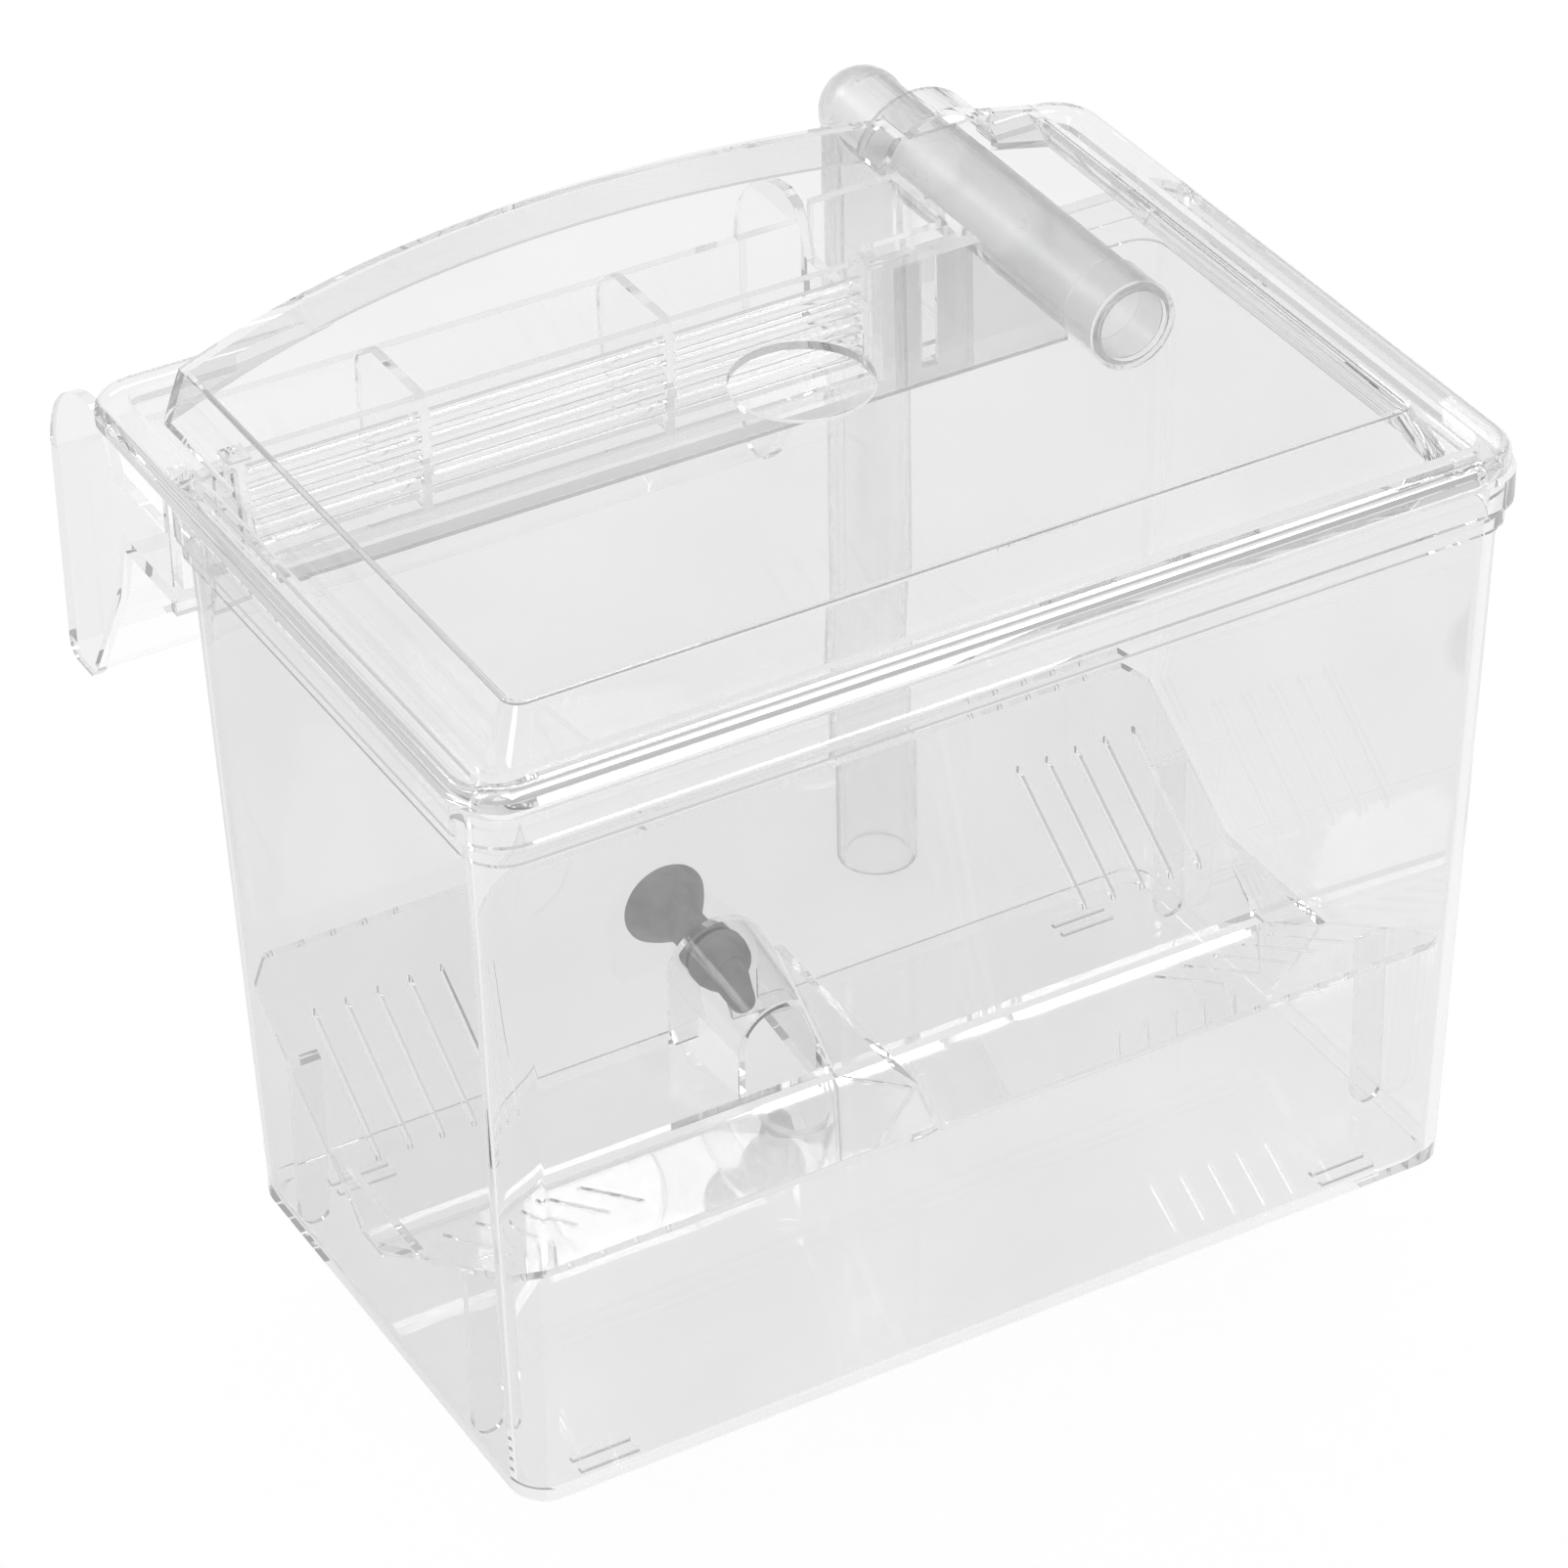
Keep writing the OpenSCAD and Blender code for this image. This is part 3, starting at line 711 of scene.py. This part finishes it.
@dataclass
class ShellMoulding(Moulding):
    """A moulding that is built anew from closed shells, which its pattern tree fuses."""

    def shells(self, work: bmesh.types.BMesh) -> None:
        """Adds the closed shells; each such piece says which.

        Args:
            work: The mesh that gets the shells.
        """
        raise NotImplementedError

    def mesh(self) -> bpy.types.Mesh:
        """Builds the mesh of overlapping shells, ready to be fused.

        Returns:
            The mesh.
        """
        work = bmesh.new()
        self.shells(work)
        bmesh.ops.recalc_face_normals(work, faces=work.faces)
        mesh = bpy.data.meshes.new(f"{self.node}_shells")
        work.to_mesh(mesh)
        work.free()
        mesh.materials.append(self.skin)
        return mesh


@dataclass
class Tank(Moulding):
    """The clear tank with its rim band, overflow window, cup niche and foot ribs."""

    node: str = "tank"
    finish: Finish = ClearPlastic("tank_styrene")
    # painted shade: darker tint on the bevelled edges
    rim: Finish | None = painted_edge_shade(0.72)
    edge: float = 0.2


@dataclass
class Hanger(Moulding):
    """Trough, chute with its cheeks, pocket and tube saddle in one moulding."""

    node: str = "hanger"
    finish: Finish = ClearPlastic(
        "hanger_styrene", tint=0.995, deep_tint=0.985, wave=0.01, rub=0.01, bare_left=-0.075)
    # painted shade: darker tint on the bevelled edges
    rim: Finish | None = painted_edge_shade(0.85)
    edge: float = 0.3


@dataclass
class Lid(Moulding):
    """Lid with its rounded flange, raised top, bowed rear edge and arch."""

    node: str = "lid"
    finish: Finish = ClearPlastic("lid_styrene")
    # painted shade: a very dark tint on the bevels, the feeding hole's wall and the lip's sides draws their
    # edge lines
    rim: Finish | None = painted_edge_shade(0.35)
    edge: float = 0.3
    hole: Pair = (2.5, -47.75)
    hole_r: float = 12.0
    hole_reach: float = 0.5
    lip: float = 0.6
    upright: float = 0.3

    def has_painted_shade(self, mesh: bpy.types.Mesh, face: bpy.types.MeshPolygon) -> bool:
        """Picks the wall of the feeding hole and the upright sides of the fine lip for painted shade.

        Args:
            mesh: The lid's mesh.
            face: One of its faces.

        Returns:
            True where the face gets the painted edge shade.
        """
        if abs(face.normal.z) > self.upright:
            return False
        heights = [mesh.vertices[i].co.z / MM for i in face.vertices]
        away = (face.center.xy / MM - Vector(self.hole)).length
        return away < self.hole_r + self.hole_reach or max(heights) - min(heights) < self.lip


@dataclass
class Strainer(ShellMoulding):
    """Overflow strainer: a frame with two fins and two hooks, and a ladder of round-faced bars."""

    node: str = "strainer"
    finish: Finish = ClearPlastic("strainer_styrene", tint=0.99, deep_tint=0.975, wave=0.0, rub=0.0)
    thick: float = 1.8
    post: float = 2.6
    strip: float = 2.6
    bar: float = 2.7
    bar_facets: int = 24
    slot: float = 1.0
    slots: int = 5
    fin: float = 1.8
    fin_places: Pair = (-45.9, -0.9)
    fin_round: float = 7.0
    fin_steps: int = 12
    hook: float = 1.2
    hook_back: float = 2.3
    root: float = 0.6

    def shells(self, work: bmesh.types.BMesh) -> None:
        """Adds the strips, the posts, the hooks and the fins.

        Args:
            work: The mesh that gets the shells.
        """
        low, high = self.corners()
        y0 = low.y + self.hook_back
        y1 = y0 + self.thick
        x0, x1 = low.x + self.hook, high.x
        top = low.z + 2 * self.strip + self.slots * (self.bar + self.slot) - self.bar
        brick(work, (x0, y0, low.z), (x1, y1, low.z + self.strip))
        brick(work, (x0, y0, top - self.strip), (x1, y1, top))
        for x in (x0, x1 - self.post):
            brick(work, (x, y0, low.z), (x + self.post, y1, high.z))
        for left, right in ((low.x, x0 + self.post), (x1 - self.post, x1)):
            brick(work, (left, low.y, high.z - self.hook), (right, y1, high.z))
        shoulder = (high.y - self.fin_round, top - self.fin_round)
        rounding = arc(shoulder, self.fin_round, 0, 90, self.fin_steps)
        for x in self.fin_places:
            outline = [(y0, low.z), (high.y, low.z), *rounding, (y0, top)]
            plate(work, outline, x - self.fin / 2, x + self.fin / 2)

    def pattern(self, piece: bpy.types.Object) -> None:
        """Fuses the frame with its ladder of bars.

        Args:
            piece: The frame.
        """
        tree = PatternTree("strainer_bars")
        count, pitch = tree.size("Bars", "Int"), tree.size("Pitch")
        start, length = tree.size("First bar", "Vector"), tree.size("Length")
        height, flat = tree.size("Half height"), tree.size("Thickness share")
        rod = tree.add("MeshCylinder", {"Vertices": self.bar_facets, "Radius": height, "Depth": length})
        lying = tree.add("Transform", {"Geometry": rod, "Rotation": (0.0, radians(90), 0.0)})
        slim = tree.add("Transform", {"Geometry": lying, "Scale": tree.triple(1.0, flat, 1.0)})
        bars = tree.row(slim, count, start, tree.triple(z=pitch))
        real = tree.add("RealizeInstances", {"Geometry": bars})
        whole = tree.add("JoinGeometry", {"Geometry": [tree.entry.outputs["Geometry"], real]})
        tree.close(tree.fuse(whole))
        low, high = self.corners()
        first = metres(
            (low.x + self.hook + high.x) / 2,
            low.y + self.hook_back + self.thick / 2,
            low.z + self.strip + self.slot + self.bar / 2)
        inner = high.x - low.x - self.hook - 2 * self.post
        tree.press(piece, {
            "Bars": self.slots - 1, "Pitch": (self.bar + self.slot) * MM, "First bar": first,
            "Length": (inner + 2 * self.root) * MM, "Half height": self.bar / 2 * MM,
            "Thickness share": self.thick / self.bar, "Finish": self.skin})


@dataclass
class FryTrap(ShellMoulding):
    """V-shaped trap: two sloping panels with groups of slits, webs across the V and round-footed legs."""

    node: str = "fry_trap"
    finish: Finish = ClearPlastic("trap_styrene", tint=0.96, deep_tint=0.94)
    # painted shade: darker tint on the bevelled edges
    rim: Finish | None = painted_edge_shade(0.8)
    edge: float = 0.2
    panel: float = 1.5
    throat: float = 3.6
    middle: float = -59.75
    low_z: float = -98.1
    top_z: float = -69.1
    web_z: float = -83.5
    end_web_z: float = -88.0
    leg: float = 5.5
    leg_places: Pair = (-94.25, -31.75)
    leg_steps: int = 15
    slit: float = 1.0
    slit_facets: int = 16
    slit_pitch: float = 5.9
    slits: int = 5
    slit_start: float = 55.6
    slit_from: float = 11.0
    slit_run: float = 22.5
    corner: float = 3.6
    knife: float = 60.0

    def rise(self, y: float) -> float:
        """Works out the height of a panel's underside.

        Args:
            y: Place along the depth in mm.

        Returns:
            The height in mm.
        """
        low, high = self.corners()
        reach = high.y - self.middle if y > self.middle else self.middle - low.y
        return self.low_z + (self.top_z - self.low_z) * abs(y - self.middle) / reach

    def shells(self, work: bmesh.types.BMesh) -> None:
        """Adds the panels, the webs and the legs.

        Args:
            work: The mesh that gets the shells.
        """
        low, high = self.corners()
        half = high.x
        self.add_panel(work, self.middle + self.throat / 2, high.y, half)
        self.add_panel(work, self.middle - self.throat / 2, low.y, half)
        end = half - self.panel / 2
        for x, top in ((0.0, self.web_z), (-end, self.end_web_z), (end, self.end_web_z)):
            self.add_web(work, x, top)
        for side in (-1, 1):
            for y in self.leg_places:
                self.add_leg(work, side * (half - self.leg / 2), y, low.z)

    def add_panel(self, work: bmesh.types.BMesh, near: float, far: float, half: float) -> None:
        """Adds one sloping panel.

        Args:
            work: The mesh that gets the panel.
            near: Its lower edge along the depth in mm.
            far: Its upper edge along the depth in mm.
            half: Half its width in mm.
        """
        under = [(near, self.low_z), (far, self.top_z)]
        over = [(y, z + self.panel) for y, z in reversed(under)]
        outline = under + over
        plate(work, outline if far > near else outline[::-1], -half, half)

    def add_web(self, work: bmesh.types.BMesh, x: float, top: float) -> None:
        """Adds one web across the V.

        Args:
            work: The mesh that gets the web.
            x: Its middle across the width in mm.
            top: Height of its upper edge in mm.
        """
        low, high = self.corners()
        grow = (top - self.low_z) / (self.top_z - self.low_z)
        rear, front = grow * (high.y - self.middle), grow * (self.middle - low.y)
        outline = [
            (self.middle - self.throat, self.low_z), (self.middle + self.throat, self.low_z),
            (self.middle + rear, top), (self.middle - front, top)]
        plate(work, outline, x - self.panel / 2, x + self.panel / 2)

    def add_leg(self, work: bmesh.types.BMesh, x: float, y: float, foot: float) -> None:
        """Adds one leg plate with a round foot.

        Args:
            work: The mesh that gets the leg.
            x: Middle of the leg across the width in mm.
            y: Middle of the leg along the depth in mm.
            foot: Height of its lowest point in mm.
        """
        radius = self.leg / 2
        top = self.rise(y) + self.panel / 2
        outline = [(x + radius, top), (x - radius, top)]
        outline += arc((x, foot + radius), radius, 180, 360, self.leg_steps)
        rear, front = ([(px, y + side * self.panel / 2, pz) for px, pz in outline] for side in (1, -1))
        band(work, rear, front)

    def cutter(self, tree: PatternTree, wide: Socket, run: Socket, tall: Socket) -> Socket:
        """Makes the knife for one slit, with round ends.

        Args:
            tree: The trap's pattern tree.
            wide: Width of the slit.
            run: Distance between the middles of its ends.
            tall: Height of the knife.

        Returns:
            The knife's socket.
        """
        straight = tree.add("MeshCube", {"Size": tree.triple(wide, run, tall)})
        radius, reach = (tree.math("MULTIPLY", length, 0.5) for length in (wide, run))
        tip = tree.add("MeshCylinder", {"Vertices": self.slit_facets, "Radius": radius, "Depth": tall})
        tips = []
        for side in (-1.0, 1.0):
            place = tree.triple(y=tree.math("MULTIPLY", reach, side))
            tips.append(tree.add("Transform", {"Geometry": tip, "Translation": place}))
        return tree.add("JoinGeometry", {"Geometry": [straight, *tips]})

    def nips(self, tree: PatternTree, tall: Socket) -> Socket:
        """Makes the four upright knives that take the corners off.

        Args:
            tree: The trap's pattern tree.
            tall: Height of the knives.

        Returns:
            The knives' socket.
        """
        corner, plan, middle = tree.size("Corner"), tree.size("Plan", "Vector"), tree.size("Middle", "Vector")
        spread = tree.split(plan)
        grid = tree.add("MeshGrid", {
            "Vertices X": 2, "Vertices Y": 2, "Size X": spread["X"], "Size Y": spread["Y"]})
        corners = tree.add("Transform", {"Geometry": grid, "Translation": middle})
        diamond = tree.add("MeshCylinder", {"Vertices": 4, "Radius": corner, "Depth": tall})
        return tree.add("InstanceOnPoints", {"Points": corners, "Instance": diamond})

    def pattern(self, piece: bpy.types.Object) -> None:
        """Fuses the shells, then cuts the slits and the corners.

        Args:
            piece: The shells.
        """
        tree = PatternTree("trap_slits")
        count, pitch = tree.size("Slits", "Int"), tree.size("Pitch")
        wide, run, tall = tree.size("Width"), tree.size("Run"), tree.size("Height")
        cutter = self.cutter(tree, wide, run, tall)
        low, high = self.corners()
        mid_z = (self.low_z + self.top_z) / 2
        left = -self.slit_start - self.slit_pitch * (self.slits - 1)
        reach = self.slit_from + self.slit_run / 2
        places = {
            f"{depth} {side}": metres(x, y, mid_z)
            for depth, y in (("Front", self.middle - reach), ("Rear", self.middle + reach))
            for side, x in (("left", left), ("right", self.slit_start))}
        rows = [tree.row(cutter, count, tree.size(name, "Vector"), tree.triple(x=pitch)) for name in places]
        joined = tree.add("JoinGeometry", {"Geometry": [*rows, self.nips(tree, tall)]})
        knives = tree.add("RealizeInstances", {"Geometry": joined})
        tree.close(tree.cut(tree.fuse(tree.entry.outputs["Geometry"]), knives))
        tree.press(piece, {
            **places, "Slits": self.slits, "Pitch": self.slit_pitch * MM, "Width": self.slit * MM,
            "Run": (self.slit_run - self.slit) * MM, "Height": self.knife * MM, "Corner": self.corner * MM,
            "Plan": metres(2 * high.x, high.y - low.y, 0.0),
            "Middle": metres(0.0, (high.y + low.y) / 2, mid_z), "Finish": self.skin})


@dataclass
class LiftTube(Moulding):
    """Frosted tube with a rounded elbow."""

    node: str = "lift_tube"
    finish: Finish = FrostedTube("tube_frosted_plastic")
    edge: float = 0.15
    crease: float = 40.0


@dataclass
class OutletSleeve(Moulding):
    """Short sleeve with a lip round the tube's open end."""

    node: str = "outlet_sleeve"
    finish: Finish = ClearPlastic("sleeve_clear_vinyl", tint=0.985, deep_tint=0.97, haze=Haze.WORN, ior=1.3)
    edge: float = 0.1
    crease: float = 40.0


@dataclass
class SuctionCup(Moulding):
    """Stand-off suction cup with a button head and a drooping nose."""

    node: str = "suction_cup"
    finish: Finish = SoftRubber("cup_soft_rubber")
    edge: float = 0.3
    crease: float = 62.0


# ---------------------------------------------------------------- studio


@dataclass(frozen=True)
class SoftBox:
    """Square lamp that points at the breeding box."""

    place: Triple
    size: float
    power: float
    target: Triple = (0.0, 0.0, -0.05)

    def build(self) -> None:
        """Hangs the lamp."""
        light = bpy.data.lights.new("soft_box", "AREA")
        light.shape = "SQUARE"
        light.size = self.size
        light.energy = self.power
        lamp = bpy.data.objects.new("soft_box", light)
        lamp.location = self.place
        aim = Vector(self.target) - Vector(self.place)
        lamp.rotation_euler = aim.to_track_quat("-Z", "Y").to_euler()
        bpy.context.scene.collection.objects.link(lamp)


@dataclass(frozen=True)
class Surround:
    """White where it is seen, elsewhere a soft room of light and dark bands that dims to the sides.

    The room is a list of places from straight down (0) to straight up (1) with their grey levels.
    """

    room: tuple[Pair, ...] = (
        (0.0, 0.9), (0.5, 0.75), (0.55, 0.5), (0.62, 0.72), (0.75, 0.85), (0.86, 0.6), (1.0, 0.85))
    side_zone: Pair = (0.3, 0.9)
    side_share: float = 0.5

    def build(self) -> None:
        """Builds the world."""
        world = bpy.data.worlds.new("surround")
        bpy.context.scene.world = world
        world.use_nodes = True
        tree = ShaderTree(world.node_tree)
        way = tree.split(tree.node("TexCoord").outputs["Generated"])
        up = tree.math("ADD", tree.math("MULTIPLY", way["Z"], 0.5), 0.5)
        dimmed = tree.map(tree.math("ABSOLUTE", way["X"]), self.side_zone, (1.0, self.side_share))
        lit = tree.add("Background", {"Color": tree.ramp(up, self.room), "Strength": dimmed})
        shown = tree.add("Background", {"Color": grey(1.0), "Strength": 1.0})
        seen = tree.node("LightPath").outputs["Is Camera Ray"]
        tree.output("OutputWorld", tree.mix(seen, lit, shown))


@dataclass(frozen=True)
class Studio:
    """Pale floor, soft boxes and a bright surround."""

    floor_drop: float = 0.4
    floor_half: float = 6.0
    paper: Finish = FloorPaper("floor_paper")
    surround: Surround = Surround()
    lamps: tuple[SoftBox, ...] = (
        SoftBox((-1.25, -0.7, 0.6), size=0.3, power=1.6),
        SoftBox((0.6, 0.3, 1.35), size=0.5, power=4.5),
        SoftBox((-1.0, 1.0, 1.1), size=0.5, power=4.0))

    def build(self) -> None:
        """Builds the floor, the surround and the lamps."""
        self.floor()
        self.surround.build()
        for lamp in self.lamps:
            lamp.build()

    def floor(self) -> None:
        """Lays the pale floor just under the lowest point."""
        low = CAD_BOX[0].z - self.floor_drop * MM
        half = self.floor_half
        mesh = bpy.data.meshes.new("floor")
        corners = [(-half, -half, low), (half, -half, low), (half, half, low), (-half, half, low)]
        mesh.from_pydata(corners, [], [(0, 1, 2, 3)])
        mesh.materials.append(self.paper.build())
        floor = bpy.data.objects.new("floor", mesh)
        bpy.context.scene.collection.objects.link(floor)


@dataclass(frozen=True)
class Viewpoint:
    """Camera on the left front, looking down on the lid; angles in degrees."""

    place: Triple = (-0.42119, -0.79750, 0.55558)
    turn: float = 29.1929
    tilt: float = 34.9547
    roll: float = -1.2052
    lens: float = 145.7696
    sensor: float = 36.0
    clip: Pair = (0.01, 50.0)

    def build(self) -> None:
        """Builds the camera and makes it the scene's own."""
        a, e, r = radians(self.turn), radians(self.tilt), radians(self.roll)
        right = Vector((cos(a), -sin(a), 0.0))
        ahead = Vector((sin(a) * cos(e), cos(a) * cos(e), -sin(e)))
        down = ahead.cross(right)
        rolled_right = right * cos(r) - down * sin(r)
        rolled_down = right * sin(r) + down * cos(r)
        basis = Matrix((rolled_right, -rolled_down, -ahead)).transposed().to_4x4()
        data = bpy.data.cameras.new("camera")
        data.sensor_width = self.sensor
        data.lens = self.lens
        data.clip_start, data.clip_end = self.clip
        camera = bpy.data.objects.new("camera", data)
        camera.matrix_world = Matrix.Translation(self.place) @ basis
        bpy.context.scene.collection.objects.link(camera)
        bpy.context.scene.camera = camera


def main() -> None:
    """Builds the camera and the studio, then the pieces in order."""
    logging.basicConfig(level=logging.INFO)
    scene = bpy.context.scene
    scene.view_settings.view_transform = "Standard"
    scene.cycles.max_bounces = LIGHT_PASSES
    scene.cycles.transmission_bounces = LIGHT_PASSES
    scene.cycles.glossy_bounces = LIGHT_PASSES
    scene.cycles.transparent_max_bounces = LIGHT_PASSES
    Viewpoint().build()
    Studio().build()
    for part in (Tank(), Hanger(), Strainer(), Lid(), FryTrap(), LiftTube(), OutletSleeve(), SuctionCup()):
        part.build()


if __name__ == "__main__":
    main()
